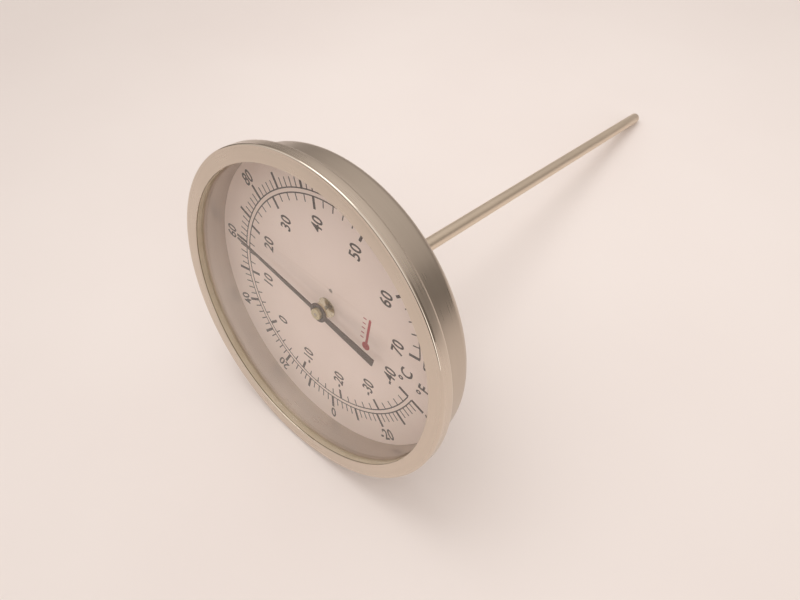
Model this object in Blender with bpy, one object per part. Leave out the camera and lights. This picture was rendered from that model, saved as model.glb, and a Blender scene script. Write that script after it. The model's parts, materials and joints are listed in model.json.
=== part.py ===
"""Bimetal dial thermometer with a threaded back connection and a long thin stem.

It lies on a table as it is put down: on the back edge of its bezel and on the tip of its stem.
Every piece is made around one axis and parented to it. A depth is the distance in millimetres
behind the front face of the bezel, and a radius is the distance from the axis.
The pointer, its hub, its shaft and the collar on the coil turn together on that axis.
"""
import math

import bmesh
import bpy
from mathutils import Vector

MM = 0.001

# Driving sizes, in millimetres.
BEZEL_RADIUS = 68.0
BEZEL_DEPTH = 5.65
LIP_RADIUS = 61.65
BEZEL_SHEET = 0.8
CASE_RADIUS = 64.0
CASE_SHEET = 0.9
CASE_BACK = 20.35
CASE_CORNER = 4.0
DIAL_DEPTH = 15.05
DIAL_SHEET = 0.8
STEM_RADIUS = 3.175
STEM_WALL = 0.45
STEM_TIP = 306.0
SHAFT_RADIUS = 0.7
POINTER_DEPTH = 10.25
POINTER_SHEET = 0.5

# Window stack, worked out from the bezel.
CLEARANCE = 0.05
FLANGE_FRONT = BEZEL_DEPTH - 1.5
GASKET_FRONT = BEZEL_SHEET + CLEARANCE
GASKET_BACK = FLANGE_FRONT - CLEARANCE
GASKET_LEG = 0.8
GASKET_LIP = 0.6
GASKET_BORE = 63.0
GLASS_FRONT = GASKET_FRONT + GASKET_LEG + CLEARANCE
GLASS_BACK = GLASS_FRONT + 1.6
FLANGE_BACK = BEZEL_DEPTH - BEZEL_SHEET - CLEARANCE
RIM_BORE = BEZEL_RADIUS - BEZEL_SHEET

# Connection behind the case: half inch taper pipe thread on a 27 mm hexagon.
NECK_RADIUS = 7.8
NECK_BORE = 3.95
NECK_HOLE = 8.0
HEX_ACROSS = 27.0
SEAL_THICKNESS = 1.0
SEAL_RADIUS = 13.0
SEAT_RADIUS = 17.0
SEAT_RECESS = 0.4
SEAT_DEPTH = CASE_BACK - SEAT_RECESS
COLLAR_FRONT = SEAT_DEPTH + SEAL_THICKNESS + 2 * CLEARANCE
COLLAR_RADIUS = 15.0
HEX_FRONT = COLLAR_FRONT + 2.0
HEX_BACK = HEX_FRONT + 12.0
UNDERCUT = 0.3
THREAD_RADIUS = 10.65
THREAD_PITCH = 1.814
THREAD_TURNS = 11
THREAD_HEIGHT = 1.2
THREAD_TAPER = 1.0 / 32.0
THREAD_BACK = HEX_BACK + 1.0 + THREAD_TURNS * THREAD_PITCH
STEM_BORE = STEM_RADIUS + 0.1

# Movement inside the stem.
GUIDE_BORE = 0.78
GUIDE_RADIUS = STEM_RADIUS - STEM_WALL - CLEARANCE
GUIDE_LENGTH = 5.0
GUIDE_FRONTS = {"upper_shaft_guide": 30.0, "middle_shaft_guide": 128.0, "lower_shaft_guide": 222.0}
COIL_FRONT = 233.0
COIL_BACK = 291.0
COIL_TURNS = 16
COIL_OUTER = 2.15
COIL_STRIP = 0.35
COIL_WIDTH = 2.7
COLLAR_LENGTH = 3.0
ANCHOR_LENGTH = 3.0
PLUG_LENGTH = 3.0

# Dial print turns with the case as it lies: 12 o'clock and the needle, counted from +X.
TWELVE_OCLOCK = math.radians(178.7)
NEEDLE_ANGLE = math.radians(171.7)
PIN_RADIUS = 0.8
PIN_CIRCLE = 9.4
PIN_ANGLE = math.radians(83.3)

# Steps in a turn.
RIM_STEPS = 72
PART_STEPS = 36
SMALL_STEPS = 24
COIL_STEPS = 12

# Colour, metallic value and roughness of each finish.
SATIN_STEEL = ((0.62, 0.58, 0.53), 1.0, 0.32)
PLAIN_STEEL = ((0.55, 0.53, 0.50), 1.0, 0.38)
BRASS = ((0.72, 0.62, 0.36), 1.0, 0.28)
CLEAR_GLASS = ((0.95, 0.96, 0.95), 0.0, 0.03)
YELLOW_RUBBER = ((0.66, 0.58, 0.30), 0.0, 0.55)
BLACK_RUBBER = ((0.03, 0.03, 0.03), 0.0, 0.60)
WHITE_ENAMEL = ((0.80, 0.74, 0.69), 0.0, 0.40)
GREY_ENAMEL = ((0.13, 0.11, 0.10), 0.0, 0.45)
WHITE_PLASTIC = ((0.85, 0.85, 0.82), 0.0, 0.45)
BIMETAL = ((0.50, 0.46, 0.40), 1.0, 0.35)


def clear_scene():
    for obj in list(bpy.data.objects):
        bpy.data.objects.remove(obj, do_unlink=True)


def material(name, finish):
    colour, metallic, roughness = finish
    mat = bpy.data.materials.new(name)
    mat.use_nodes = True
    shader = mat.node_tree.nodes["Principled BSDF"]
    shader.inputs["Base Color"].default_value = (*colour, 1.0)
    shader.inputs["Metallic"].default_value = metallic
    shader.inputs["Roughness"].default_value = roughness
    return mat


def finish_mesh(name, bm, parent, finish):
    """Turns a bmesh drawn in millimetres into a named object in metres."""
    bmesh.ops.remove_doubles(bm, verts=bm.verts, dist=0.001)
    bmesh.ops.recalc_face_normals(bm, faces=bm.faces)
    bmesh.ops.scale(bm, vec=(MM, MM, MM), verts=bm.verts)
    mesh = bpy.data.meshes.new(name)
    bm.to_mesh(mesh)
    bm.free()
    mesh.shade_smooth()
    mesh.set_sharp_from_angle(angle=math.radians(35))
    obj = bpy.data.objects.new(name, mesh)
    bpy.context.collection.objects.link(obj)
    obj.parent = parent
    obj.data.materials.append(material(name, finish))
    return obj


def on_circle(radius, angle):
    return (radius * math.cos(angle), radius * math.sin(angle))


def spun(outline, steps, turned_by=0.0):
    """Turns an outline of (radius, depth) points about the axis. One that starts on the axis stays open."""
    bm = bmesh.new()
    verts = []
    for radius, depth in outline:
        x, y = on_circle(radius, turned_by)
        verts.append(bm.verts.new((x, y, -depth)))
    pairs = list(zip(verts, verts[1:]))
    if outline[0][0] > 0:
        pairs.append((verts[-1], verts[0]))
    edges = [bm.edges.new(pair) for pair in pairs]
    bmesh.ops.spin(bm, geom=verts + edges, cent=(0, 0, 0), axis=(0, 0, 1), angle=math.tau, steps=steps,
                   use_merge=False, use_duplicate=False)
    return bm


def turned(name, outline, parent, finish, steps=PART_STEPS):
    """Rims that can touch the table have a flat, not a corner, underneath."""
    half_step = math.pi / steps if steps == RIM_STEPS else 0.0
    return finish_mesh(name, spun(outline, steps, half_step), parent, finish)


def arc(centre, radius, first, last, steps):
    """Points of a round corner, as (radius, depth). Degrees: 0 points outward, 90 points to the back."""
    points = []
    for step in range(steps + 1):
        angle = math.radians(first + (last - first) * step / steps)
        points.append((centre[0] + radius * math.cos(angle), centre[1] + radius * math.sin(angle)))
    return points


def mill_hexagon(bm, across, front, back):
    """Cuts six flats on everything between two depths."""
    for vert in bm.verts:
        if front <= -vert.co.z <= back:
            angle = math.atan2(vert.co.y, vert.co.x) % (math.pi / 3) - math.pi / 6
            reach = across / 2 / math.cos(angle)
            radius = vert.co.xy.length
            if radius > reach:
                vert.co.xy *= reach / radius


def cut(obj, radius, front, back, place=(0.0, 0.0)):
    """Drills a round hole with a cutter that isn't part of the thermometer."""
    outline = [(0.0, front), (radius, front), (radius, back), (0.0, back)]
    cutter = finish_mesh("cutter_" + obj.name, spun(outline, SMALL_STEPS), obj.parent, PLAIN_STEEL)
    cutter.location = (place[0] * MM, place[1] * MM, 0.0)
    cutter.hide_render = True
    cutter.display_type = "WIRE"
    boolean = obj.modifiers.new("hole", "BOOLEAN")
    boolean.operation = "DIFFERENCE"
    boolean.solver = "EXACT"
    boolean.object = cutter


def bezel_ring(axis):
    corner = 0.7
    outline = [(LIP_RADIUS, 0.0)]
    outline += arc((BEZEL_RADIUS - corner, corner), corner, -90, 0, 3)
    outline += [
        (BEZEL_RADIUS, BEZEL_DEPTH - 0.3),
        (BEZEL_RADIUS - 0.3, BEZEL_DEPTH),
        (CASE_RADIUS + 0.3, BEZEL_DEPTH),
        (CASE_RADIUS + 0.3, BEZEL_DEPTH - BEZEL_SHEET),
        (RIM_BORE, BEZEL_DEPTH - BEZEL_SHEET),
        (RIM_BORE, BEZEL_SHEET),
        (LIP_RADIUS, BEZEL_SHEET),
    ]
    turned("bezel_ring", outline, axis, SATIN_STEEL, RIM_STEPS)


def window_gasket(axis):
    """Rubber channel that wraps the edge of the glass, pressed between the lip and the case's flange."""
    front_lip = LIP_RADIUS - GASKET_LIP
    back_lip = GASKET_BORE - GASKET_LIP
    outer = RIM_BORE - 0.3
    outline = [
        (front_lip, GASKET_FRONT),
        (outer, GASKET_FRONT),
        (outer, GASKET_BACK),
        (back_lip, GASKET_BACK),
        (back_lip, GLASS_BACK + CLEARANCE),
        (GASKET_BORE, GLASS_BACK + CLEARANCE),
        (GASKET_BORE, GLASS_FRONT - CLEARANCE),
        (front_lip, GLASS_FRONT - CLEARANCE),
    ]
    turned("window_gasket", outline, axis, YELLOW_RUBBER, RIM_STEPS)


def window_glass(axis):
    outer = GASKET_BORE - CLEARANCE
    outline = [
        (0.0, GLASS_FRONT),
        (outer - 0.3, GLASS_FRONT),
        (outer, GLASS_FRONT + 0.3),
        (outer, GLASS_BACK - 0.3),
        (outer - 0.3, GLASS_BACK),
        (0.0, GLASS_BACK),
    ]
    turned("window_glass", outline, axis, CLEAR_GLASS, RIM_STEPS)


def case_cup(axis):
    """Drawn cup with a rolled-out flange in front and a shallow pressed seat for the connection behind."""
    bore = CASE_RADIUS - CASE_SHEET
    floor = CASE_BACK - CASE_SHEET
    outer_corner = (CASE_RADIUS - CASE_CORNER, CASE_BACK - CASE_CORNER)
    flange = RIM_BORE - 0.3
    outline = [(bore, FLANGE_FRONT), (flange, FLANGE_FRONT), (flange, FLANGE_BACK), (CASE_RADIUS, FLANGE_BACK)]
    outline += arc(outer_corner, CASE_CORNER, 0, 90, 5)
    outline += [
        (SEAT_RADIUS, CASE_BACK),
        (SEAT_RADIUS - SEAT_RECESS, SEAT_DEPTH),
        (NECK_HOLE, SEAT_DEPTH),
        (NECK_HOLE, SEAT_DEPTH - CASE_SHEET),
        (SEAT_RADIUS - SEAT_RECESS, SEAT_DEPTH - CASE_SHEET),
        (SEAT_RADIUS, floor),
    ]
    outline += arc(outer_corner, CASE_CORNER - CASE_SHEET, 90, 0, 5)
    turned("case_cup", outline, axis, SATIN_STEEL, RIM_STEPS)


def dial_plate(axis):
    outer = CASE_RADIUS - CASE_SHEET - 0.3
    back = DIAL_DEPTH + DIAL_SHEET
    outline = [(NECK_BORE, DIAL_DEPTH), (outer, DIAL_DEPTH), (outer, back), (NECK_BORE, back)]
    plate = turned("dial_plate", outline, axis, WHITE_ENAMEL, RIM_STEPS)
    cut(plate, PIN_RADIUS + 0.15, DIAL_DEPTH - 2, back + 2, on_circle(PIN_CIRCLE, PIN_ANGLE))


def dial_bushing(axis):
    """Polished flanged bush that clamps the dial on the neck and carries the front end of the shaft."""
    head = DIAL_DEPTH - CLEARANCE
    outline = [
        (GUIDE_BORE, head - 0.35),
        (4.25, head - 0.35),
        (4.35, head - 0.25),
        (4.35, head),
        (NECK_BORE - 0.15, head),
        (NECK_BORE - 0.15, 25.0),
        (GUIDE_BORE, 25.0),
    ]
    turned("dial_bushing", outline, axis, BRASS)


def case_locknut(axis):
    front = DIAL_DEPTH + DIAL_SHEET + CLEARANCE
    back = SEAT_DEPTH - CASE_SHEET - CLEARANCE
    outline = [
        (NECK_HOLE, front),
        (11.6, front),
        (12.8, front + 0.6),
        (12.8, back),
        (NECK_HOLE, back),
    ]
    bm = spun(outline, PART_STEPS)
    mill_hexagon(bm, 22.0, front, back)
    nut = finish_mesh("case_locknut", bm, axis, BRASS)
    cut(nut, PIN_RADIUS + 0.05, front - 1, front + 2.6, on_circle(PIN_CIRCLE, PIN_ANGLE))


def dial_locating_pin(axis):
    """Stops the dial turning under the bush."""
    front = DIAL_DEPTH + 0.1
    back = DIAL_DEPTH + DIAL_SHEET + 2.5
    nose = PIN_RADIUS - 0.2
    outline = [(0.0, front), (nose, front), (PIN_RADIUS, front + 0.2), (PIN_RADIUS, back), (0.0, back)]
    pin = turned("dial_locating_pin", outline, axis, PLAIN_STEEL, SMALL_STEPS)
    x, y = on_circle(PIN_CIRCLE, PIN_ANGLE)
    pin.location = (x * MM, y * MM, 0.0)


def case_seal(axis):
    """Flat ring between the case and the connection's collar."""
    front = SEAT_DEPTH + CLEARANCE
    back = front + SEAL_THICKNESS
    bore = NECK_HOLE + 0.2
    outline = [(bore, front), (SEAL_RADIUS, front), (SEAL_RADIUS, back), (bore, back)]
    turned("case_seal", outline, axis, BLACK_RUBBER)


def thread_outline():
    """Crest and root of each turn, drawn as rings on the taper."""
    points = []
    for turn in range(THREAD_TURNS):
        start = HEX_BACK + 1.0 + turn * THREAD_PITCH
        crest = THREAD_RADIUS - (start - HEX_BACK) * THREAD_TAPER
        points.append((crest - THREAD_HEIGHT, start))
        points.append((crest, start + THREAD_PITCH * 0.45))
        points.append((crest, start + THREAD_PITCH * 0.55))
    return points


def connection(axis):
    """One turned piece: neck through the case, collar, hexagon and taper thread, bored for the stem."""
    neck_front = DIAL_DEPTH + DIAL_SHEET + 0.3
    end_root = THREAD_RADIUS - THREAD_HEIGHT - (THREAD_BACK - HEX_BACK) * THREAD_TAPER
    outline = [
        (NECK_BORE, neck_front),
        (NECK_RADIUS, neck_front),
        (NECK_RADIUS, COLLAR_FRONT),
        (COLLAR_RADIUS, COLLAR_FRONT),
        (COLLAR_RADIUS, HEX_FRONT),
        (HEX_ACROSS / 2 + 0.6, HEX_FRONT),
        (HEX_ACROSS / math.sqrt(3), HEX_FRONT + 1.0),
        (HEX_ACROSS / math.sqrt(3), HEX_BACK - 1.0),
        (HEX_ACROSS / 2 + 0.6, HEX_BACK),
        (THREAD_RADIUS + 0.25, HEX_BACK),
        (THREAD_RADIUS, HEX_BACK - UNDERCUT),
        (THREAD_RADIUS - THREAD_HEIGHT, HEX_BACK - UNDERCUT),
    ]
    outline += thread_outline()
    outline += [(end_root, THREAD_BACK), (STEM_BORE, THREAD_BACK), (STEM_BORE, 26.0), (NECK_BORE, 26.0)]
    bm = spun(outline, PART_STEPS)
    mill_hexagon(bm, HEX_ACROSS, HEX_FRONT, HEX_BACK)
    finish_mesh("connection", bm, axis, PLAIN_STEEL)


def stem_tube(axis):
    front = 26.5
    back = STEM_TIP - STEM_RADIUS
    bore = STEM_RADIUS - STEM_WALL
    outline = [(bore, front), (STEM_RADIUS, front), (STEM_RADIUS, back), (bore, back)]
    turned("stem_tube", outline, axis, SATIN_STEEL, SMALL_STEPS)


def stem_tip_plug(axis):
    """Domed plug welded into the end of the tube."""
    dome = STEM_TIP - STEM_RADIUS + CLEARANCE
    height = STEM_TIP - dome
    spigot = STEM_RADIUS - STEM_WALL - CLEARANCE
    outline = [(0.0, dome - PLUG_LENGTH), (spigot, dome - PLUG_LENGTH), (spigot, dome)]
    for step in range(5):
        angle = math.radians(90.0 * step / 5)
        outline.append((STEM_RADIUS * math.cos(angle), dome + height * math.sin(angle)))
    outline.append((0.0, STEM_TIP))
    turned("stem_tip_plug", outline, axis, SATIN_STEEL, SMALL_STEPS)


def shaft_guides(axis):
    """Three bearing bushes spaced down the stem keep the long shaft straight."""
    for name, front in GUIDE_FRONTS.items():
        back = front + GUIDE_LENGTH
        outline = [(GUIDE_BORE, front), (GUIDE_RADIUS, front), (GUIDE_RADIUS, back), (GUIDE_BORE, back)]
        turned(name, outline, axis, WHITE_PLASTIC, SMALL_STEPS)


def coil_anchor(axis):
    """Fixed ring at the tip that holds the far end of the coil and the end of the shaft."""
    front = COIL_BACK + 2 * CLEARANCE
    outline = [(GUIDE_BORE, front), (GUIDE_RADIUS, front), (GUIDE_RADIUS, front + ANCHOR_LENGTH),
               (GUIDE_BORE, front + ANCHOR_LENGTH)]
    turned("coil_anchor", outline, axis, PLAIN_STEEL, SMALL_STEPS)


def bimetal_coil(axis):
    """Flat bimetal strip wound into a helix, from the collar on the shaft to the anchor at the tip."""
    bm = bmesh.new()
    travel = COIL_BACK - COIL_FRONT - COIL_WIDTH
    sections = COIL_TURNS * COIL_STEPS
    inner = COIL_OUTER - COIL_STRIP
    corners = [(COIL_OUTER, 0.0), (COIL_OUTER, COIL_WIDTH), (inner, COIL_WIDTH), (inner, 0.0)]
    last = None
    for section in range(sections + 1):
        x, y = on_circle(1.0, math.tau * section / COIL_STEPS)
        depth = COIL_FRONT + travel * section / sections
        loop = [bm.verts.new((x * radius, y * radius, -(depth + drop))) for radius, drop in corners]
        if last is None:
            bm.faces.new(loop)
        else:
            for side in range(4):
                after = (side + 1) % 4
                bm.faces.new((last[side], last[after], loop[after], loop[side]))
        last = loop
    bm.faces.new(last)
    finish_mesh("bimetal_coil", bm, axis, BIMETAL)


def coil_collar(turning):
    """Moving collar that joins the near end of the coil to the shaft."""
    back = COIL_FRONT - 2 * CLEARANCE
    front = back - COLLAR_LENGTH
    bore = SHAFT_RADIUS + CLEARANCE
    outline = [(bore, front), (COIL_OUTER, front), (COIL_OUTER, back), (bore, back)]
    turned("coil_collar", outline, turning, PLAIN_STEEL, SMALL_STEPS)


def pointer_shaft(turning):
    front = POINTER_DEPTH - 1.6
    back = COIL_BACK + ANCHOR_LENGTH - 0.5
    outline = [(0.0, front), (SHAFT_RADIUS, front), (SHAFT_RADIUS, back), (0.0, back)]
    turned("pointer_shaft", outline, turning, PLAIN_STEEL, SMALL_STEPS)


def pointer_hub(turning):
    """Brass collar pressed on the shaft, with a shoulder behind the pointer's ring."""
    bore = SHAFT_RADIUS + CLEARANCE
    front = POINTER_DEPTH - 1.4
    back = POINTER_DEPTH + POINTER_SHEET + CLEARANCE
    outline = [
        (bore, front),
        (2.5, front),
        (2.75, front + 0.25),
        (2.75, back),
        (3.6, back),
        (3.6, back + 1.0),
        (1.8, back + 1.4),
        (1.8, back + 2.2),
        (bore, back + 2.2),
    ]
    turned("pointer_hub", outline, turning, BRASS, SMALL_STEPS)


def pointer(turning):
    """Flat needle along +X with a ring round the hub and a tail that widens to a square end."""
    ring = 4.4
    neck = 1.0
    tail_neck = 1.35
    outline = [(48.5, 0.25), (44.0, 0.55), (19.0, neck)]
    start = math.asin(neck / ring)
    end = math.pi - math.asin(tail_neck / ring)
    for step in range(9):
        outline.append(on_circle(ring, start + (end - start) * step / 8))
    outline.append((-29.6, 1.9))
    outline += [(x, -y) for x, y in reversed(outline)]
    bm = bmesh.new()
    face = bm.faces.new([bm.verts.new((x, y, -POINTER_DEPTH)) for x, y in outline])
    extruded = bmesh.ops.extrude_face_region(bm, geom=[face])
    moved = [item for item in extruded["geom"] if isinstance(item, bmesh.types.BMVert)]
    bmesh.ops.translate(bm, vec=(0, 0, -POINTER_SHEET), verts=moved)
    needle = finish_mesh("pointer", bm, turning, GREY_ENAMEL)
    cut(needle, 2.85, POINTER_DEPTH - 2, POINTER_DEPTH + 2)


def resting_tilt():
    """Rise of the axis when the bezel's back corner and the stem's domed tip both touch the table."""
    corner_radius = BEZEL_RADIUS * math.cos(math.pi / RIM_STEPS)
    run = STEM_TIP - STEM_RADIUS - (BEZEL_DEPTH - 0.3)
    reach = math.hypot(run, corner_radius)
    return math.atan2(corner_radius, run) - math.asin(STEM_RADIUS / reach)


def empty(name, parent=None):
    obj = bpy.data.objects.new(name, None)
    bpy.context.collection.objects.link(obj)
    obj.parent = parent
    return obj


def stand_on_table(axis):
    """Moves the whole thermometer so that its box stands centred on the origin."""
    bpy.context.view_layer.update()
    points = []
    for obj in bpy.data.objects:
        if obj.type == "MESH" and not obj.hide_render:
            points += [obj.matrix_world @ vert.co for vert in obj.data.vertices]
    low = [min(point[k] for point in points) for k in range(3)]
    high = [max(point[k] for point in points) for k in range(3)]
    axis.location -= Vector(((low[0] + high[0]) / 2, (low[1] + high[1]) / 2, low[2]))


def main():
    clear_scene()
    axis = empty("thermometer_axis")
    axis.rotation_euler = (math.pi / 2 - resting_tilt(), 0.0, 0.0)
    turning = empty("pointer_axis", axis)
    turning.rotation_euler = (0.0, 0.0, NEEDLE_ANGLE)
    bezel_ring(axis)
    window_gasket(axis)
    window_glass(axis)
    case_cup(axis)
    dial_plate(axis)
    dial_bushing(axis)
    case_locknut(axis)
    dial_locating_pin(axis)
    case_seal(axis)
    connection(axis)
    stem_tube(axis)
    stem_tip_plug(axis)
    shaft_guides(axis)
    coil_anchor(axis)
    bimetal_coil(axis)
    coil_collar(turning)
    pointer_shaft(turning)
    pointer_hub(turning)
    pointer(turning)
    stand_on_table(axis)


main()
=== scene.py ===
"""Looks of the dial thermometer, lying on a pale table on its bezel and the tip of its stem.

Pieces are drawn in millimetres in the thermometer's own frame: x to the right, y up the dial, and
z out of the window along the stem's axis. A depth is counted back from the bezel's front face.
"""

import json
import math

import bmesh
import bpy
from mathutils import Matrix, Vector


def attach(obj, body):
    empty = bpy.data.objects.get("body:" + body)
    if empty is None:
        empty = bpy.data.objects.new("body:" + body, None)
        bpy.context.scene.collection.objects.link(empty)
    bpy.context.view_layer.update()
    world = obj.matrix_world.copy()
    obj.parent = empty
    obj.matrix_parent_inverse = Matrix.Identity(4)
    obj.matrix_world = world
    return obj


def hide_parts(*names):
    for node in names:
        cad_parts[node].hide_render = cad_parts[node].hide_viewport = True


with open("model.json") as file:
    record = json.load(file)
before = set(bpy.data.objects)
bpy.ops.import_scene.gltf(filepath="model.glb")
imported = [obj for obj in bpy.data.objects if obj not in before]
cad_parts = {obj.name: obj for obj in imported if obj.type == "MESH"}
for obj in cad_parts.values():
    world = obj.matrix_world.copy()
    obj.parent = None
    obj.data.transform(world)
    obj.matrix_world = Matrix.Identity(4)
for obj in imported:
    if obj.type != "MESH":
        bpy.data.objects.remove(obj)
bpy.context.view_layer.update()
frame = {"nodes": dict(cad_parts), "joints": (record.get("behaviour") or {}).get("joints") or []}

MM = 0.001

# ---------------------------------------------------------------- sizes, in millimetres
BEZEL_RADIUS = 67.93
BEZEL_DEPTH = 5.65
LIP_RADIUS = 61.65
SHEET = 0.8
GLASS_FRONT, GLASS_BACK, GLASS_RADIUS = 1.7, 3.3, 62.45
GASKET_FRONT, GASKET_BACK, GASKET_LIP, GASKET_RADIUS = 0.85, 4.1, 62.05, 66.8
CASE_RADIUS, CASE_SHEET, CASE_BACK = 64.0, 0.9, 20.35
FLANGE_FRONT, FLANGE_BACK, FLANGE_RADIUS = 4.15, 4.8, 66.8
SEAT_RADIUS, SEAT_DEPTH, CASE_HOLE = 17.0, 19.95, 8.05
DIAL_DEPTH, DIAL_SHEET, DIAL_RADIUS = 15.05, 0.8, 63.05
INK = 0.03
BUSH_RADIUS, BUSH_BORE, BUSH_BACK, NECK_BORE = 4.35, 0.78, 25.0, 3.95
PIN_RADIUS, PIN_BACK, PIN_HOLE, PIN_CIRCLE, PIN_ANGLE = 0.8, 18.35, 0.95, 9.4, 83.3
SEAL_FRONT, SEAL_BACK, SEAL_RADIUS, SEAL_BORE = 20.0, 21.0, 13.0, 8.2
POINTER_DEPTH, POINTER_SHEET = 10.25, 0.5
NEEDLE_RING, NEEDLE_EYE, NEEDLE_NECK, TAIL_NECK = 4.15, 2.85, 0.92, 1.25
HUB_FRONT, HUB_BORE = 8.85, 0.75
SHAFT_RADIUS, SHAFT_FRONT, SHAFT_BACK = 0.7, 8.65, 293.0
SPIGOT_FRONT, SPIGOT_RADIUS = 16.15, 7.8
COLLAR_FRONT, COLLAR_RADIUS = 21.05, 15.0
HEX_ACROSS, HEX_FRONT, HEX_BACK, HEX_CHAMFER = 27.0, 23.05, 35.05, 1.1
THREAD_RADIUS, THREAD_PITCH, THREAD_HEIGHT, THREAD_TURNS = 10.65, 1.814, 1.2, 11
THREAD_LENGTH, THREAD_TAPER = 20.4, 1 / 32  # the taper is how fast the radius falls
FITTING_BACK, SOCKET_FRONT, SOCKET_RADIUS = 56.0, 26.0, 3.275
STEM_RADIUS, STEM_BORE, STEM_FRONT, STEM_TIP, TIP_LENGTH = 3.17, 2.725, 26.5, 306.0, 3.1

# The dial print: 12 o'clock lies toward -x because of how the thermometer was put down.
TWELVE_OCLOCK = 178.7
NEEDLE_ANGLE = 171.7
CELSIUS_LINE, FAHRENHEIT_LINE = 46.3, 48.2
CELSIUS_MARK, CELSIUS_TENTH, CELSIUS_NUMBER = 43.3, 41.4, 35.8
FAHRENHEIT_MARK, FAHRENHEIT_TENTH, FAHRENHEIT_NUMBER = 52.1, 54.5, 58.0
LINE, TENTH_LINE = 0.5, 1.2
NARROW, NARROWER = 0.80, 0.66  # width of the letters against the plain font
# Degrees clockwise from 12 o'clock of every tenth Celsius mark, from -40 to 70.
TENTH_MARKS = (-164.7, -136.3, -107.2, -77.4, -46.7, -15.4, 15.2, 45.2, 75.2, 105.9, 137.1, 168.7)

# ---------------------------------------------------------------- frame of the thermometer
hinge = frame["joints"][0]
OUT = Vector(hinge["axis"]).normalized()
ACROSS = Vector((1.0, 0.0, 0.0))
UP = OUT.cross(ACROSS)
FRONT = Vector(hinge["pos_m"]) + OUT * POINTER_DEPTH * MM
AXIS = Matrix.Translation(FRONT) @ Matrix((ACROSS, UP, OUT)).transposed().to_4x4()
TURNED = AXIS @ Matrix.Rotation(math.radians(NEEDLE_ANGLE), 4, "Z")


# ---------------------------------------------------------------- material helpers
NOISE_LOW, NOISE_HIGH = 0.3, 0.7  # a noise texture hardly ever leaves these


def colour(code):
    """Linear colour of an sRGB hex code."""
    parts = [int(code[i:i + 2], 16) / 255 for i in (1, 3, 5)]
    return tuple(p / 12.92 if p <= 0.04045 else ((p + 0.055) / 1.055) ** 2.4 for p in parts) + (1.0,)


def add(tree, kind, inputs=None, **settings):
    """Adds a shader node, sets its options, and fills or links its sockets by name or number.
    A node given for a socket is linked by its first output in use."""
    made = tree.nodes.new("ShaderNode" + kind)
    for key, value in settings.items():
        setattr(made, key, value)
    for key, value in (inputs or {}).items():
        if isinstance(value, bpy.types.Node):
            value = next(out for out in value.outputs if out.enabled)
        if isinstance(value, bpy.types.NodeSocket):
            tree.links.new(value, made.inputs[key])
        else:
            made.inputs[key].default_value = value
    return made


def new_material(name):
    """An empty material, its nodes, and the place of a point in the thermometer's own frame."""
    made = bpy.data.materials.new(name)
    made.use_nodes = True
    tree = made.node_tree
    tree.nodes.clear()
    spot = add(tree, "TexCoord").outputs["Object"]
    spot = add(tree, "Mapping", {"Vector": spot, "Location": FRONT, "Rotation": AXIS.to_euler()},
               vector_type="TEXTURE")
    return made, tree, spot


def across(size):
    """Scale of a noise texture with patches about so many mm across."""
    return 1 / (size * MM)


def off_axis(tree, spot):
    """What of a place lies across the axis, how far off the axis it is, and its height along it."""
    parts = add(tree, "SeparateXYZ", {0: spot})
    flat = add(tree, "CombineXYZ", {"X": parts.outputs["X"], "Y": parts.outputs["Y"]})
    return flat, add(tree, "VectorMath", {0: flat}, operation="LENGTH"), parts.outputs["Z"]


def ring_marks(tree, spot, pitch, reach):
    """Streaks round the axis, as a lathe or a polishing belt leaves them. They are about so many mm
    apart, and the higher the reach, the shorter each one is."""
    flat, radius, height = off_axis(tree, spot)
    turn = add(tree, "VectorMath", {0: flat}, operation="NORMALIZE")
    turn = add(tree, "VectorMath", {0: turn, "Scale": reach}, operation="SCALE")
    run = add(tree, "Math", {0: radius, 1: height}, operation="SUBTRACT")
    run = add(tree, "Math", {0: run, 1: across(pitch)}, operation="MULTIPLY")
    lift = add(tree, "CombineXYZ", {"Z": run})
    where = add(tree, "VectorMath", {0: turn, 1: lift}, operation="ADD")
    return add(tree, "TexNoise", {"Vector": where, "Scale": 1.0, "Detail": 2.0})


def near_ring(tree, spot, ring_radius, ring_depth, reach, low=0.0):
    """Low on a ring about the axis, given by radius and depth, and 1 from so many mm away."""
    _, radius, height = off_axis(tree, spot)
    section = add(tree, "CombineXYZ", {"X": radius, "Y": height})
    away = add(tree, "VectorMath", {0: section, 1: (ring_radius * MM, -ring_depth * MM, 0.0)},
               operation="DISTANCE")
    return add(tree, "MapRange", {"Value": away, "From Min": reach * 0.6 * MM, "From Max": reach * MM,
                                  "To Min": low, "To Max": 1.0})


def tones(tree, pattern, first, second, share=(0.0, 1.0), span=(NOISE_LOW, NOISE_HIGH)):
    """Colour that goes from the first toward the second as a pattern rises through the span. share is
    how much of the second there is at each end of the span."""
    factor = add(tree, "MapRange", {"Value": pattern, "From Min": span[0], "From Max": span[1],
                                    "To Min": share[0], "To Max": share[1]})
    return add(tree, "Mix", {0: factor, 6: first, 7: second}, data_type="RGBA")


def grained(tree, base, grain, rough, depth, more=None):
    """Ends a material with grain that stands out by so many mm and is as rough as the pair says,
    from its low spots to its high ones."""
    satin = add(tree, "MapRange", {"Value": grain, "From Min": NOISE_LOW, "From Max": NOISE_HIGH,
                                   "To Min": rough[0], "To Max": rough[1]})
    relief = add(tree, "Bump", {"Height": grain, "Distance": depth * MM, "Strength": 1.0})
    shader = add(tree, "BsdfPrincipled", {"Base Color": base, "Roughness": satin, "Normal": relief,
                                          **(more or {})})
    add(tree, "OutputMaterial", {"Surface": shader})


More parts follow.
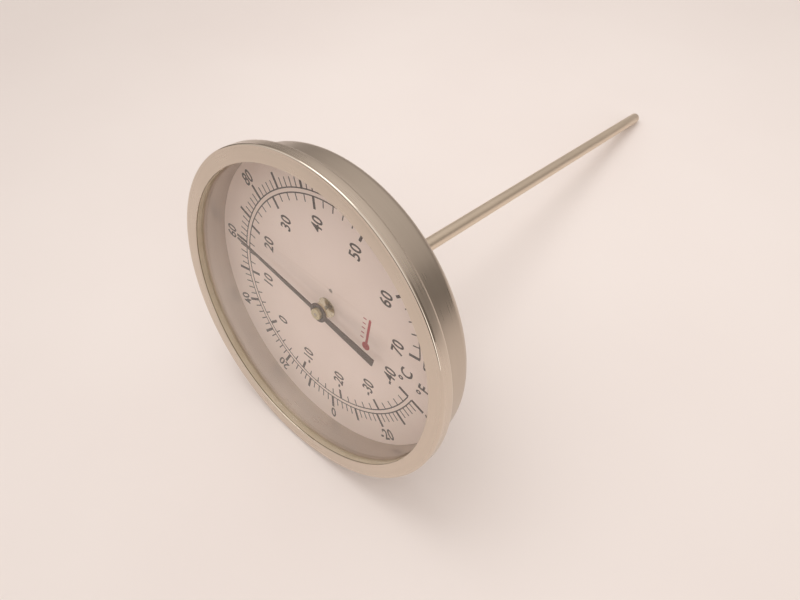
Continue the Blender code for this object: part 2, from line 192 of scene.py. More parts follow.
def ring_brushed_metal(name, light, dark, rough, pitch, depth, stretch, reach=2.5, contrast=0.5,
                       uneven=0.06, bright_edge=None, painted_shade_edge=None):
    """Metal worked while it turned: fine streaks run round, and highlights spread across them.
    bright_edge is the radius and depth of a corner that handling has rubbed bright, and painted_shade_edge
    those of an edge where a dark line of shade is painted into the colour."""
    made, tree, spot = new_material(name)
    fine = ring_marks(tree, spot, pitch, reach)
    broad = ring_marks(tree, spot, pitch * 5, reach * 0.4)
    patches = add(tree, "TexNoise", {"Vector": spot, "Scale": across(22.0), "Detail": 3.0})
    half = add(tree, "Math", {0: fine, 1: 0.5}, operation="MULTIPLY")
    streaks = add(tree, "Math", {0: broad, 1: 0.5, 2: half}, operation="MULTIPLY_ADD")
    base = tones(tree, streaks, colour(dark), colour(light), (0.5 - contrast, 0.5 + contrast), (0.35, 0.65))
    base = tones(tree, patches, base, colour(dark), (0.0, 0.2))
    satin = add(tree, "MapRange", {"Value": fine, "From Min": NOISE_LOW, "From Max": NOISE_HIGH,
                                   "To Min": rough - uneven, "To Max": rough + uneven})
    smudges = add(tree, "MapRange", {"Value": patches, "From Min": NOISE_LOW, "From Max": NOISE_HIGH,
                                     "To Min": 0.0, "To Max": 0.08})
    satin = add(tree, "Math", {0: satin, 1: smudges}, operation="ADD")
    if bright_edge:
        rubbed = near_ring(tree, spot, *bright_edge, reach=1.1, low=0.25)
        satin = add(tree, "Math", {0: satin, 1: rubbed}, operation="MULTIPLY")
    # Painted shade: a dark olive line along the given edge. It stands for the shadow in the edge and for
    # the dark inside of the case that the edge mirrors.
    if painted_shade_edge:
        clear_of_painted_shade = near_ring(tree, spot, *painted_shade_edge, reach=0.5)
        base = add(tree, "Mix", {0: clear_of_painted_shade, 6: colour("#7A6B50"), 7: base}, data_type="RGBA")
    # The tool's direction of travel, for the highlights.
    place = add(tree, "NewGeometry").outputs["Position"]
    place = add(tree, "VectorMath", {0: place, 1: FRONT}, operation="SUBTRACT")
    travel = add(tree, "VectorMath", {0: OUT, 1: place}, operation="CROSS_PRODUCT")
    relief = add(tree, "Bump", {"Height": fine, "Distance": depth * MM, "Strength": 1.0})
    shader = add(tree, "BsdfPrincipled", {
        "Base Color": base, "Metallic": 1.0, "Roughness": satin, "Anisotropic": stretch,
        "Anisotropic Rotation": 0.25, "Tangent": travel, "Normal": relief})
    add(tree, "OutputMaterial", {"Surface": shader})
    return made


def polished_brass(name):
    """Flat lapped brass, near a mirror, with a few hair scratches and a breath of tarnish."""
    made, tree, spot = new_material(name)
    tarnish = add(tree, "TexNoise", {"Vector": spot, "Scale": across(3.0), "Detail": 3.0})
    drawn_out = add(tree, "Mapping", {"Vector": spot, "Rotation": (0, 0, 0.6), "Scale": (12.0, 0.6, 1.0)})
    hair = add(tree, "TexNoise", {"Vector": drawn_out, "Scale": across(0.8), "Detail": 1.0})
    base = tones(tree, tarnish, colour("#CEC4AC"), colour("#C0B59A"))
    grained(tree, base, hair, (0.14, 0.24), 0.001, {"Metallic": 1.0})
    return made


def moulded_rubber(name, light, dark, gloss, grain):
    """Rubber pressed in a mould: soft sheen, fine matt grain so many mm across, and worn patches."""
    made, tree, spot = new_material(name)
    skin = add(tree, "TexNoise", {"Vector": spot, "Scale": across(grain), "Detail": 4.0, "Roughness": 0.65})
    wear = add(tree, "TexNoise", {"Vector": spot, "Scale": across(9.0), "Detail": 3.0})
    base = tones(tree, wear, colour(dark), colour(light))
    grained(tree, base, skin, (gloss, gloss + 0.15), 0.02, {"Sheen Weight": 0.1})
    return made


def window_glass(name):
    """Clear sheet glass: the dial shows straight through, and the pale table mirrors in it at a
    slant. A thin film of grease dulls the mirror in patches."""
    made, tree, spot = new_material(name)
    slant = add(tree, "LayerWeight", {"Blend": 0.5}).outputs["Facing"]
    mirror = add(tree, "Math", {0: slant, 1: 5.0}, operation="POWER")
    mirror = add(tree, "Math", {0: mirror, 1: 0.96, 2: 0.04}, operation="MULTIPLY_ADD")
    film = add(tree, "TexNoise", {"Vector": spot, "Scale": across(14.0), "Detail": 5.0, "Roughness": 0.7})
    dull = add(tree, "MapRange", {"Value": film, "From Min": NOISE_LOW, "From Max": NOISE_HIGH,
                                  "To Min": 0.02, "To Max": 0.09})
    clear = add(tree, "BsdfTransparent", {"Color": colour("#FFFFFF")})
    gloss = add(tree, "BsdfAnisotropic", {"Color": colour("#FFFFFF"), "Roughness": dull})
    sheet = add(tree, "MixShader", {0: mirror, 1: clear, 2: gloss})
    add(tree, "OutputMaterial", {"Surface": sheet})
    return made


def dial_enamel(name):
    """Stoved off-white enamel on sheet metal: very slight orange peel, and a faint stain in patches."""
    made, tree, spot = new_material(name)
    peel = add(tree, "TexNoise", {"Vector": spot, "Scale": across(1.1), "Detail": 2.0})
    stain = add(tree, "TexNoise", {"Vector": spot, "Scale": across(30.0), "Detail": 3.0})
    base = tones(tree, stain, colour("#F7E4D9"), colour("#F2DED2"))
    grained(tree, base, peel, (0.38, 0.48), 0.004, {"Coat Weight": 0.15, "Coat Roughness": 0.25})
    return made


def matt_coat(name, full, thin, grain=0.6):
    """Screen-printed ink or sprayed enamel, a touch lighter where it lies thin. The weave of a screen
    is about 0.1 mm, too fine to show, so it is drawn coarser: grain is its size in mm."""
    made, tree, spot = new_material(name)
    mesh = add(tree, "TexNoise", {"Vector": spot, "Scale": across(grain), "Detail": 3.0, "Roughness": 0.6})
    base = tones(tree, mesh, colour(full), colour(thin))
    grained(tree, base, mesh, (0.45, 0.6), 0.005)
    return made


def bimetal_strip(name):
    """Two alloys rolled together: straw-coloured outside, greyer inside, with heat colour in patches."""
    made, tree, spot = new_material(name)
    _, radius, _ = off_axis(tree, spot)
    rolled = ring_marks(tree, spot, 0.2, 0.6)
    heat = add(tree, "TexNoise", {"Vector": spot, "Scale": across(6.0), "Detail": 3.0})
    base = tones(tree, radius, colour("#A9A59C"), colour("#C3B184"), span=(1.95 * MM, 2.05 * MM))
    base = tones(tree, heat, base, colour("#8A6F4E"), (0.0, 0.35))
    grained(tree, base, rolled, (0.28, 0.42), 0.003, {"Metallic": 1.0})
    return made


def turned_plastic(name):
    """White low-friction plastic cut on a lathe: dull, waxy, with tool rings."""
    made, tree, spot = new_material(name)
    rings = ring_marks(tree, spot, 0.25, 0.5)
    patches = add(tree, "TexNoise", {"Vector": spot, "Scale": across(3.0), "Detail": 3.0})
    base = tones(tree, patches, colour("#EDECE6"), colour("#DDDACF"))
    grained(tree, base, rings, (0.4, 0.55), 0.01, {"Subsurface Weight": 0.1, "Subsurface Scale": 0.001})
    return made


def table_top(name):
    """Pale laminate: smooth and matt, with hardly any figure."""
    made, tree, spot = new_material(name)
    wide = add(tree, "TexNoise", {"Vector": spot, "Scale": across(160.0), "Detail": 3.0})
    skin = add(tree, "TexNoise", {"Vector": spot, "Scale": across(1.5), "Detail": 3.0})
    base = tones(tree, wide, colour("#F0E7E2"), colour("#EDE3DE"))
    grained(tree, base, skin, (0.55, 0.65), 0.003)
    return made


# ---------------------------------------------------------------- shape helpers
def finish_piece(name, bm, place, finish, sharp=35.0):
    """Turns a bmesh drawn in mm into a named object whose mesh lies in its place."""
    bmesh.ops.remove_doubles(bm, verts=bm.verts, dist=0.0005)
    bmesh.ops.recalc_face_normals(bm, faces=bm.faces)
    bmesh.ops.transform(bm, matrix=place @ Matrix.Scale(MM, 4), verts=bm.verts)
    mesh = bpy.data.meshes.new(name)
    bm.to_mesh(mesh)
    bm.free()
    mesh.shade_smooth()
    mesh.set_sharp_from_angle(angle=math.radians(sharp))
    mesh.materials.append(finish)
    made = bpy.data.objects.new(name, mesh)
    bpy.context.scene.collection.objects.link(made)
    return made


def arc(centre, radius, first, last, steps=6):
    """Round corner as (radius, depth) points. 0 degrees points outward and 90 to the back."""
    angles = [math.radians(first + (last - first) * k / steps) for k in range(steps + 1)]
    return [(centre[0] + radius * math.cos(a), centre[1] + radius * math.sin(a)) for a in angles]


def circle(radius, steps, centre=(0.0, 0.0)):
    """Points round a circle."""
    angles = [math.tau * k / steps for k in range(steps)]
    return [(centre[0] + radius * math.cos(a), centre[1] + radius * math.sin(a)) for a in angles]


def turned(name, outline, place, finish, steps=240, shape=None, sharp=35.0):
    """Turns (radius, depth) points about the axis. An outline that starts on the axis stays open.
    shape gives the radius of a point from its radius, depth and angle."""
    bm = bmesh.new()
    rows = []
    for radius, depth in outline:
        row = []
        for k in range(steps if radius > 0 else 1):
            angle = math.tau * k / steps
            reach = shape(radius, depth, angle) if shape else radius
            row.append(bm.verts.new((reach * math.cos(angle), reach * math.sin(angle), -depth)))
        rows.append(row)
    pairs = list(zip(rows, rows[1:])) + ([(rows[-1], rows[0])] if outline[0][0] > 0 else [])
    for first, second in pairs:
        for k in range(steps):
            corners = [first[k % len(first)], first[(k + 1) % len(first)],
                       second[(k + 1) % len(second)], second[k % len(second)]]
            corners = list(dict.fromkeys(corners))
            if len(corners) > 2:
                bm.faces.new(corners)
    return finish_piece(name, bm, place, finish, sharp)


def clock(radius, angle):
    """Point on the dial at a clockwise angle from 12 o'clock."""
    a = math.radians(TWELVE_OCLOCK - angle)
    return Vector((radius * math.cos(a), radius * math.sin(a)))


def celsius_angle(value):
    """Clockwise angle of a Celsius mark, in line with the neighbouring tenth marks."""
    step = min(max((value + 40) / 10, 0.0), len(TENTH_MARKS) - 0.5)
    low = min(int(step), len(TENTH_MARKS) - 2)
    return TENTH_MARKS[low] + (TENTH_MARKS[low + 1] - TENTH_MARKS[low]) * (step - low)


def fahrenheit_angle(value):
    """The same, for a Fahrenheit mark."""
    return celsius_angle((value - 32) / 1.8)


def sheet_mesh(loops, thickness, soft=0.0):
    """Closed outlines in mm cut from a sheet; one inside another is a hole."""
    curve = bpy.data.curves.new("outline", "CURVE")
    curve.dimensions, curve.fill_mode = "2D", "BOTH"
    for loop in loops:
        spline = curve.splines.new("POLY")
        spline.points.add(len(loop) - 1)
        for point, (x, y) in zip(spline.points, loop):
            point.co = (x, y, 0.0, 1.0)
        spline.use_cyclic_u = True
    curve.extrude = thickness / 2 - soft
    curve.bevel_depth, curve.offset, curve.bevel_resolution = soft, -soft, 2
    return mesh_of(curve)


def text_mesh(text, height, narrow=NARROW):
    """Letters of ink, centred on their middle, with the given digit height. A digit of the font is
    0.73 of its size, and the offset thickens the strokes to the print's weight."""
    curve = bpy.data.curves.new("letters", "FONT")
    curve.body, curve.size, curve.space_character = text, height / 0.73, 1.05
    curve.extrude, curve.offset = INK / 2, height * 0.024
    mesh = mesh_of(curve)
    reach = [v.co.x for v in mesh.vertices]
    middle = (min(reach) + max(reach)) / 2
    mesh.transform(Matrix.Diagonal((narrow, 1, 1, 1)) @ Matrix.Translation((-middle, -height / 2, 0)))
    return mesh


def mesh_of(curve):
    """Mesh of a curve or a text."""
    holder = bpy.data.objects.new(curve.name, curve)
    bpy.context.scene.collection.objects.link(holder)
    bpy.context.view_layer.update()
    mesh = bpy.data.meshes.new_from_object(holder.evaluated_get(bpy.context.evaluated_depsgraph_get()))
    bpy.data.objects.remove(holder)
    return mesh


def laid_piece(name, meshes, middle, place, finish):
    """Joins flat meshes into one piece whose middle lies at a depth."""
    bm = bmesh.new()
    for mesh in meshes:
        bm.from_mesh(mesh)
    bmesh.ops.translate(bm, vec=(0, 0, -middle), verts=bm.verts)
    return finish_piece(name, bm, place, finish)


def bar(first, second, width):
    """Corners of a straight stroke between two points."""
    side = (second - first).orthogonal().normalized() * width / 2
    return [first + side, second + side, second - side, first - side]


def bow(radius, width, first, last, step=1.5):
    """Corners of a curved stroke along the dial."""
    count = max(2, int(abs(last - first) / step))
    angles = [first + (last - first) * k / count for k in range(count + 1)]
    outer = [clock(radius + width / 2, a) for a in angles]
    return outer + [clock(radius - width / 2, a) for a in reversed(angles)]


def ride(piece, body, slot, *nodes):
    """Puts a piece on a body in place of nodes of the CAD model. The slot is not used."""
    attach(piece, body)
    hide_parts(*nodes)
    return piece


# ---------------------------------------------------------------- materials
# Real polishing marks are less than 0.1 mm apart, too fine to show, so those of the bezel, the case
# and the stem are drawn about 0.5 mm apart and very shallow. Lathe marks are drawn a little coarse too.
# Bezel: stainless strip rolled to shape and satin-polished while it turned. Broad soft highlights, a
# bright rubbed front corner, and painted shade: a dark line on the inner edge of the lip.
BEZEL_STEEL = ring_brushed_metal(
    "satin stainless, bezel", "#DDD0C2", "#D2C6B7", rough=0.26, pitch=0.45, depth=0.0005, stretch=0.4,
    contrast=0.2, uneven=0.025, bright_edge=(BEZEL_RADIUS - 0.25, 0.25), painted_shade_edge=(LIP_RADIUS, 0.75))
# Case: deep-drawn stainless, polished round with a slightly coarser belt.
CASE_STEEL = ring_brushed_metal(
    "satin stainless, case", "#CDC1B3", "#C2B6A8", rough=0.28, pitch=0.45, depth=0.0006, stretch=0.4,
    contrast=0.2, uneven=0.03)
# Stem: ground tube, a dull even sheen.
STEM_STEEL = ring_brushed_metal(
    "ground stainless, stem", "#E8DAC7", "#DCCDB9", rough=0.36, pitch=0.5, depth=0.0001, stretch=0.3,
    reach=0.4, contrast=0.12, uneven=0.01)
# Connection: bar stock off the lathe, tool rings plain to see.
FITTING_STEEL = ring_brushed_metal(
    "turned stainless, connection", "#CFC5BA", "#AFA498", rough=0.24, pitch=0.35, depth=0.003, stretch=0.4)
# Small parts on the shaft: steel off the lathe, greyer and with close tool rings.
SMALL_STEEL = ring_brushed_metal(
    "turned steel, small parts", "#C4BBB0", "#A0978D", rough=0.30, pitch=0.2, depth=0.002, stretch=0.3,
    reach=0.3)
# Hub and locknut: brass off the lathe, left bright.
HUB_BRASS = ring_brushed_metal(
    "turned brass, hub", "#D3C8A6", "#BEB190", rough=0.24, pitch=0.2, depth=0.002, stretch=0.3, reach=0.3)
NUT_BRASS = ring_brushed_metal(
    "turned brass, locknut", "#DCC98A", "#BFA96A", rough=0.28, pitch=0.3, depth=0.003, stretch=0.3,
    reach=0.8)
# The others look as their functions say.
BUSH_BRASS = polished_brass("polished brass, bush")
GASKET_RUBBER = moulded_rubber("pale yellow rubber, gasket", "#D3C5AE", "#C8B9A0", gloss=0.6, grain=0.4)
SEAL_RUBBER = moulded_rubber("black rubber, seal", "#2B2A29", "#1F1E1D", gloss=0.5, grain=0.5)
WINDOW = window_glass("sheet glass, window")
ENAMEL = dial_enamel("off-white enamel, dial")
BLACK_INK = matt_coat("black ink, dial print", "#38291F", "#46352A")
RED_INK = matt_coat("red ink, dial mark", "#B03A3C", "#BC5353")
POINTER_PAINT = matt_coat("dark grey enamel, pointer", "#54453A", "#5E4E42", grain=1.2)
STRIP = bimetal_strip("bimetal strip, coil")
GUIDE_PLASTIC = turned_plastic("white plastic, shaft guides")

# ---------------------------------------------------------------- case and window
# The bezel's lip turns in over the window, and its skirt turns in behind the case's flange.
lip, front_corner, back_corner, hem = 0.3, 0.6, 1.4, 0.39
back = BEZEL_DEPTH - SHEET
outline = arc((LIP_RADIUS + lip, lip), lip, 180, 270)
outline += arc((BEZEL_RADIUS - front_corner, front_corner), front_corner, -90, 0, 12)
outline += arc((BEZEL_RADIUS - back_corner, BEZEL_DEPTH - back_corner), back_corner, 0, 90, 10)
outline += arc((CASE_RADIUS + hem + 0.06, BEZEL_DEPTH - 0.4), hem, 90, 180)
outline += [(CASE_RADIUS + 0.06, back), (BEZEL_RADIUS - SHEET - 0.8, back),
            (BEZEL_RADIUS - SHEET, back - 0.8), (BEZEL_RADIUS - SHEET, SHEET),
            (LIP_RADIUS + 0.2, SHEET), (LIP_RADIUS, SHEET - 0.2)]
bezel = turned("bezel", outline, AXIS, BEZEL_STEEL, 288)
ride(bezel, "case", "bezel_steel", "bezel_ring")

# The gasket grips the glass in a groove. Its front lip stays behind the bezel's.
round_off, gap = 0.3, 0.05
groove, front, back = GLASS_RADIUS + gap, GLASS_FRONT - gap, GLASS_BACK + gap
outline = arc((GASKET_LIP + round_off, GASKET_FRONT + round_off), round_off, 270, 180, 6)
outline += [(GASKET_LIP, front), (groove, front), (groove, back), (groove - round_off, back)]
outline += arc((groove, GASKET_BACK - round_off), round_off, 180, 90, 4)
outline += [(GASKET_RADIUS, GASKET_BACK), (GASKET_RADIUS, GASKET_FRONT)]
gasket = turned("gasket", outline, AXIS, GASKET_RUBBER, 240)
ride(gasket, "case", "gasket_rubber", "window_gasket")

outline = [(0.0, GLASS_FRONT)]
outline += arc((GLASS_RADIUS - round_off, GLASS_FRONT + round_off), round_off, -90, 0, 4)
outline += arc((GLASS_RADIUS - round_off, GLASS_BACK - round_off), round_off, 0, 90, 4)
outline += [(0.0, GLASS_BACK)]
window = turned("window", outline, AXIS, WINDOW, 240)
ride(window, "case", "window_glass", "window_glass")

# Round the drawn cup: the flange, down the outside to the seat, and up the inside.
bore, floor_depth = CASE_RADIUS - CASE_SHEET, CASE_BACK - CASE_SHEET
outer_corner = 4.0
turn = (CASE_RADIUS - outer_corner, CASE_BACK - outer_corner)
outline = arc((bore + 0.5, FLANGE_FRONT + 0.5), 0.5, 180, 270, 4)
outline += [(FLANGE_RADIUS, FLANGE_FRONT), (FLANGE_RADIUS, FLANGE_BACK), (CASE_RADIUS + 0.3, FLANGE_BACK),
            (CASE_RADIUS, FLANGE_BACK + 0.3)]
outline += arc(turn, outer_corner, 0, 90, 14)
outline += arc((SEAT_RADIUS + 0.6, CASE_BACK - 0.4), 0.4, 90, 150, 4)
outline += [(SEAT_RADIUS - 0.4, SEAT_DEPTH), (CASE_HOLE, SEAT_DEPTH), (CASE_HOLE, SEAT_DEPTH - CASE_SHEET),
            (SEAT_RADIUS - 0.4, SEAT_DEPTH - CASE_SHEET), (SEAT_RADIUS + 0.4, floor_depth)]
outline += arc(turn, outer_corner - CASE_SHEET, 90, 0, 14)
case = turned("case", outline, AXIS, CASE_STEEL, 288)
ride(case, "case", "case_steel", "case_cup")

# ---------------------------------------------------------------- dial and its print
pin_turn = math.radians(PIN_ANGLE)
pin_at = Vector((math.cos(pin_turn), math.sin(pin_turn))) * PIN_CIRCLE
plate = [circle(DIAL_RADIUS, 240), circle(NECK_BORE, 48), circle(PIN_HOLE, 32, pin_at)]
dial = laid_piece("dial", [sheet_mesh(plate, DIAL_SHEET, 0.08)], DIAL_DEPTH + DIAL_SHEET / 2, AXIS, ENAMEL)
ride(dial, "case", "dial_enamel", "dial_plate")

ink_depth = DIAL_DEPTH - INK / 2
strokes = [bow(CELSIUS_LINE, LINE, TENTH_MARKS[0], TENTH_MARKS[-1]),
           bow(FAHRENHEIT_LINE, LINE, TENTH_MARKS[0], fahrenheit_angle(160))]
for values, angle_of, line, mark, tenth in (
        (range(-40, 71, 2), celsius_angle, CELSIUS_LINE, CELSIUS_MARK, CELSIUS_TENTH),
        (range(-40, 161, 2), fahrenheit_angle, FAHRENHEIT_LINE, FAHRENHEIT_MARK, FAHRENHEIT_TENTH)):
    for value in values:
        end, width = (tenth, TENTH_LINE) if value % 10 == 0 else (mark, LINE)
        inner, outer = sorted((line, end))
        strokes.append(bar(clock(inner, angle_of(value)), clock(outer, angle_of(value)), width))
graduations = laid_piece("graduations", [sheet_mesh([s], INK) for s in strokes], ink_depth, AXIS, BLACK_INK)
ride(graduations, "case", "dial_enamel")

# Turns what is drawn upright to stand upright on the dial.
UPRIGHT = Matrix.Rotation(math.radians(TWELVE_OCLOCK - 90), 4, "Z")

# Each label is its text, height, width, and place.
labels = []
for value in range(-40, 71, 10):
    spot = clock(CELSIUS_NUMBER, celsius_angle(value))
    labels.append((str(value), 5.5, NARROW, Matrix.Translation((*spot, 0)) @ UPRIGHT))
for value in range(-40, 161, 20):
    # These run round the dial, with their feet to its middle above 3 and 9 o'clock and to the rim below.
    angle = fahrenheit_angle(value)
    turn = Matrix.Rotation(math.radians(-angle + (180 if abs(angle) > 100.5 else 0)), 4, "Z")
    place = Matrix.Translation((*clock(FAHRENHEIT_NUMBER, angle), 0)) @ UPRIGHT @ turn
    labels.append((str(value), 5.3, NARROW if value < 100 else NARROWER, place))
for text, height, x, y in (("C", 5.6, -1.7, -41.4), ("F", 5.4, -2.7, -50.0), ("°", 5.6, -5.6, -41.4),
                           ("°", 5.4, -6.0, -50.0)):
    labels.append((text, height, NARROW, UPRIGHT @ Matrix.Translation((x, y, 0))))
letters = []
for text, height, width, place in labels:
    mesh = text_mesh(text, height, width)
    mesh.transform(place)
    letters.append(mesh)
numerals = laid_piece("numerals", letters, ink_depth, AXIS, BLACK_INK)
ride(numerals, "case", "dial_enamel")

# A plain printed sign of a small thermometer.
bulb = circle(1.9, 24, (-4.0, -21.5))
tube = [(-3.0, -22.1), (9.4, -22.1), (10.0, -21.5), (9.4, -20.9), (-3.0, -20.9)]
marks = [[(x, -19.8), (x + 0.45, -19.8), (x + 0.45, -18.2), (x, -18.2)] for x in (-1.0, 1.4, 3.8, 6.2, 8.6)]
sign = [sheet_mesh([loop], INK) for loop in (bulb, tube, *marks)]
for mesh in sign:
    mesh.transform(UPRIGHT)
red_mark = laid_piece("red_mark", sign, ink_depth, AXIS, RED_INK)
ride(red_mark, "case", "dial_enamel")

# ---------------------------------------------------------------- bush, pin and seal
head = DIAL_DEPTH - 0.05
outline = [(BUSH_BORE, head - 0.35)] + arc((BUSH_RADIUS - 0.1, head - 0.25), 0.1, -90, 0, 4)
outline += [(BUSH_RADIUS, head), (NECK_BORE - 0.15, head), (NECK_BORE - 0.15, BUSH_BACK),
            (BUSH_BORE, BUSH_BACK)]
bush = turned("bush", outline, AXIS, BUSH_BRASS, 96)
ride(bush, "case", "polished_brass", "dial_bushing")

outline = [(0.0, DIAL_DEPTH + 0.1), (PIN_RADIUS - 0.2, DIAL_DEPTH + 0.1), (PIN_RADIUS, DIAL_DEPTH + 0.3),
           (PIN_RADIUS, PIN_BACK), (0.0, PIN_BACK)]
pin = turned("locating_pin", outline, AXIS @ Matrix.Translation((*pin_at * MM, 0)), SMALL_STEEL, 32)
ride(pin, "case", "turned_steel", "dial_locating_pin")

outline = [(SEAL_BORE, SEAL_FRONT)]
outline += arc((SEAL_RADIUS - round_off, SEAL_FRONT + round_off), round_off, -90, 0, 3)
outline += arc((SEAL_RADIUS - round_off, SEAL_BACK - round_off), round_off, 0, 90, 3)
outline += [(SEAL_BORE, SEAL_BACK)]
seal = turned("seal", outline, AXIS, SEAL_RUBBER, 96)
ride(seal, "case", "black_rubber", "case_seal")


# ---------------------------------------------------------------- connection
def taper(depth):
    """Radius of the tapered end, over the crests of its thread."""
    return THREAD_RADIUS - (depth - HEX_BACK) * THREAD_TAPER


def cut_connection(radius, depth, angle):
    """Six flats milled on the hexagon, and a right-hand V thread cut on the taper."""
    if HEX_FRONT - 0.01 <= depth <= HEX_BACK + 0.01 and radius > HEX_ACROSS / 2 - 1:
        return min(radius, HEX_ACROSS / 2 / math.cos(angle % (math.pi / 3) - math.pi / 6))
    first = HEX_BACK + 0.6
    last = first + (THREAD_TURNS + 0.2) * THREAD_PITCH
    if radius > THREAD_RADIUS - 2.2 and first < depth < last:
        # The wave is -1 or 1 on a crest and 0 in a root, and the groove has flats on both. It fades
        # in and out at the ends of the thread.
        wave = ((depth / THREAD_PITCH + angle / math.tau) % 1.0) * 2 - 1
        groove = min(1.0, max(0.0, (1 - abs(wave)) * 1.25 - 0.1))
        fade = min(1.0, (depth - first) / 1.2, (last - depth) / 0.8)
        return radius - THREAD_HEIGHT * groove * fade
    return radius


edge = 0.3
flat = HEX_ACROSS / 2 + 0.5
tip = HEX_ACROSS / math.sqrt(3) - flat
outline = [(NECK_BORE, SPIGOT_FRONT), (SPIGOT_RADIUS - edge, SPIGOT_FRONT),
           (SPIGOT_RADIUS, SPIGOT_FRONT + edge), (SPIGOT_RADIUS, COLLAR_FRONT),
           (COLLAR_RADIUS - edge, COLLAR_FRONT), (COLLAR_RADIUS, COLLAR_FRONT + edge),
           (COLLAR_RADIUS, HEX_FRONT), (flat, HEX_FRONT)]
outline += [(flat + tip * k / 6, HEX_FRONT + HEX_CHAMFER * k / 6) for k in range(1, 7)]
outline += [(flat + tip * (1 - k / 6), HEX_BACK - HEX_CHAMFER * (1 - k / 6)) for k in range(7)]
outline += [(THREAD_RADIUS + 0.1, HEX_BACK), (THREAD_RADIUS, HEX_BACK + 0.1)]
rows = 14 * THREAD_TURNS
outline += [(taper(d), d) for d in [HEX_BACK + 0.4 + k * THREAD_LENGTH / rows for k in range(rows + 1)]]
outline += [(taper(FITTING_BACK) - 1.1, FITTING_BACK - 0.01), (SOCKET_RADIUS, FITTING_BACK - 0.01),
            (SOCKET_RADIUS, SOCKET_FRONT), (NECK_BORE, SOCKET_FRONT)]
connection = turned("threaded_connection", outline, AXIS, FITTING_STEEL, 144, cut_connection, 28.0)
ride(connection, "case", "connection_steel", "connection")

# ---------------------------------------------------------------- stem
dome = STEM_TIP - TIP_LENGTH
outline = [(STEM_BORE, STEM_FRONT), (STEM_RADIUS, STEM_FRONT)]
outline += [(STEM_RADIUS, STEM_FRONT + (dome - 0.1 - STEM_FRONT) * k / 12) for k in range(1, 12)]
outline += [(STEM_RADIUS, dome - 0.25), (STEM_RADIUS - 0.06, dome - 0.12), (STEM_BORE, dome - 0.12)]
stem = turned("stem", outline, AXIS, STEM_STEEL, 64)
ride(stem, "case", "stem_steel", "stem_tube")

# The plug welded in the end: a short shank in the tube, and a dome.
shank = STEM_BORE - 0.075
outline = [(0.0, dome - 3.0), (shank, dome - 3.0), (shank, dome - 0.1), (STEM_RADIUS - 0.08, dome - 0.1)]
outline += [(STEM_RADIUS * math.cos(a), dome + TIP_LENGTH * math.sin(a))
            for a in [math.radians(9 * k) for k in range(1, 10)]]
outline += [(0.0, STEM_TIP)]
plug = turned("stem_tip", outline, AXIS, STEM_STEEL, 64)
ride(plug, "case", "stem_steel", "stem_tip_plug")

# ---------------------------------------------------------------- pointer, hub and shaft
# Half of the outline: from the tip, round the ring, to the tail.
start, end = math.asin(NEEDLE_NECK / NEEDLE_RING), math.pi - math.asin(TAIL_NECK / NEEDLE_RING)
half = [(48.5, 0.22), (44.0, 0.55), (19.0, NEEDLE_NECK)]
half += [(NEEDLE_RING * math.cos(a), NEEDLE_RING * math.sin(a))
         for a in [start + (end - start) * k / 24 for k in range(25)]]
half += [(-29.4, 1.8), (-29.6, 1.6)]
needle = [half + [(x, -y) for x, y in reversed(half)], circle(NEEDLE_EYE, 48)]
pointer = laid_piece("pointer_needle", [sheet_mesh(needle, POINTER_SHEET, 0.06)],
                     POINTER_DEPTH + POINTER_SHEET / 2, TURNED, POINTER_PAINT)
ride(pointer, "pointer", "pointer_enamel", "pointer")

back = POINTER_DEPTH + POINTER_SHEET + 0.05
outline = [(HUB_BORE, HUB_FRONT), (2.0, HUB_FRONT)] + arc((2.1, HUB_FRONT + edge), edge, -90, 0, 4)
outline += [(2.75, back), (3.5, back), (3.6, back + 0.1), (3.6, back + 1.0), (1.8, back + 1.4),
            (1.8, back + 2.2), (HUB_BORE, back + 2.2)]
hub = turned("hub", outline, TURNED, HUB_BRASS, 72)
ride(hub, "pointer", "polished_brass", "pointer_hub")

outline = [(0.0, SHAFT_FRONT), (SHAFT_RADIUS - 0.2, SHAFT_FRONT), (SHAFT_RADIUS, SHAFT_FRONT + 0.2),
           (SHAFT_RADIUS, SHAFT_BACK), (0.0, SHAFT_BACK)]
shaft = turned("shaft", outline, TURNED, SMALL_STEEL, 32)
ride(shaft, "pointer", "turned_steel", "pointer_shaft")

# ---------------------------------------------------------------- nodes shown as they are
SHOWN = {"case_locknut": (NUT_BRASS, "turned_brass"),
         "upper_shaft_guide": (GUIDE_PLASTIC, "guide_plastic"),
         "middle_shaft_guide": (GUIDE_PLASTIC, "guide_plastic"),
         "lower_shaft_guide": (GUIDE_PLASTIC, "guide_plastic"),
         "coil_anchor": (SMALL_STEEL, "turned_steel"),
         "coil_collar": (SMALL_STEEL, "turned_steel"),
         "bimetal_coil": (STRIP, "bimetal_strip")}
for node, (finish, slot) in SHOWN.items():
    shown = frame["nodes"][node]
    shown.data.materials.clear()
    shown.data.materials.append(finish)

# ---------------------------------------------------------------- table, light and camera
TABLE_HALF = 900.0
bm = bmesh.new()
bmesh.ops.create_grid(bm, x_segments=8, y_segments=8, size=TABLE_HALF)
table = finish_piece("table", bm, Matrix.Identity(4), table_top("pale laminate, table"))

world = bpy.data.worlds.new("room")
bpy.context.scene.world = world
world.use_nodes = True
tree = world.node_tree
tree.nodes.clear()
look = add(tree, "TexCoord").outputs["Generated"]
height = add(tree, "SeparateXYZ", {0: look}).outputs["Z"]


def toward(direction, degrees):
    """1 in one direction of the room, fading to 0 so many degrees away from it."""
    near = add(tree, "VectorMath", {0: look, 1: Vector(direction).normalized()}, operation="DOT_PRODUCT")
    return add(tree, "MapRange", {"Value": near, "From Min": math.cos(math.radians(degrees)),
                                  "From Max": math.cos(math.radians(degrees * 0.4))},
               interpolation_type="SMOOTHSTEP")


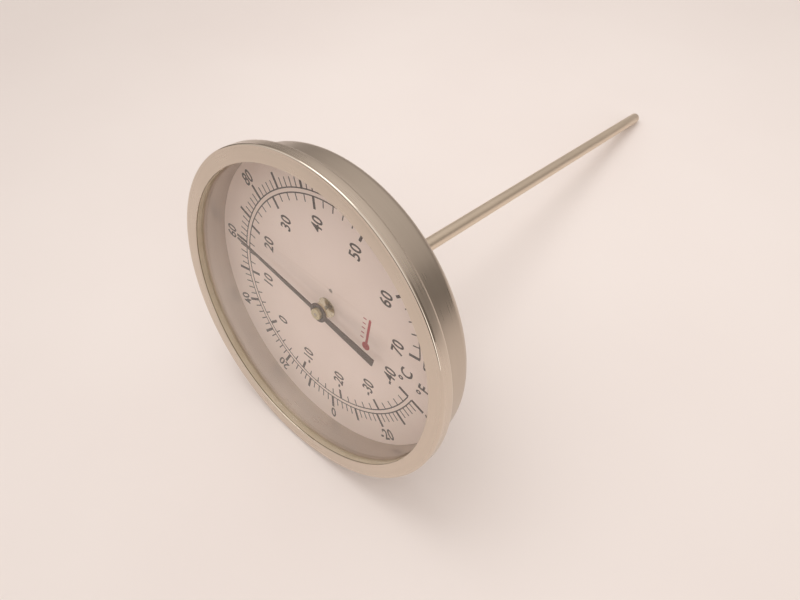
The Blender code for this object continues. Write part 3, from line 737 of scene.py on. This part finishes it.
# The room: dim walls near the level of the table, and a pale ceiling.
TONES = ((0.0, (0.28, 0.245, 0.22)), (0.15, (0.35, 0.31, 0.28)), (0.6, (0.73, 0.66, 0.61)),
         (0.8, (0.90, 0.84, 0.80)), (1.0, (0.98, 0.95, 0.93)))
walls = add(tree, "ValToRGB", {0: height})
stops = walls.color_ramp.elements
for position, _ in TONES[1:-1]:
    stops.new(position)
for stop, (_, tone) in zip(stops, TONES):
    stop.color = (*tone, 1.0)
# On it lie a bright upper front, a dark low front, a dark corner behind on the right, and a bright
# window low on the right.
low = add(tree, "MapRange", {"Value": height, "From Min": 0.45, "From Max": 0.25},
          interpolation_type="SMOOTHSTEP")
low_front = add(tree, "Math", {0: low, 1: toward((0.2, -0.98, 0.1), 75.0)}, operation="MULTIPLY")
for share, tone in ((toward((-0.15, -0.8, 0.55), 75.0), (1.10, 1.06, 1.03)),
                    (low_front, (0.12, 0.10, 0.085)),
                    (toward((0.74, 0.66, 0.1), 26.0), (0.20, 0.175, 0.155)),
                    (toward((0.97, -0.24, 0.17), 27.0), (1.8, 1.74, 1.68))):
    walls = add(tree, "Mix", {0: share, 6: walls, 7: (*tone, 1.0)}, data_type="RGBA")
background = add(tree, "Background", {"Color": walls, "Strength": 0.97})
add(tree, "OutputWorld", {"Surface": background})


def put(name, data, at, aim):
    """Places a lamp or a camera and points it at something."""
    made = bpy.data.objects.new(name, data)
    bpy.context.scene.collection.objects.link(made)
    made.location = at
    made.rotation_euler = (Vector(aim) - Vector(at)).to_track_quat("-Z", "Y").to_euler()
    return made


lamp = bpy.data.lights.new("overhead_light", "AREA")
lamp.shape, lamp.size, lamp.energy, lamp.color = "DISK", 0.46, 0.31, colour("#FFFFFF")[:3]
lamp.spread = math.radians(88)
put("overhead_light", lamp, (-0.19, -0.06, 0.64), (0.06, 0.06, 0.0))

lens = bpy.data.cameras.new("camera")
lens.sensor_width, lens.lens, lens.clip_start = 36.0, 27.18, 0.01
camera = put("camera", lens, (0.11597, -0.21499, 0.24908), (-0.01528, -0.06828, 0.0))
bpy.context.scene.camera = camera
bpy.context.scene.view_settings.view_transform = "Standard"
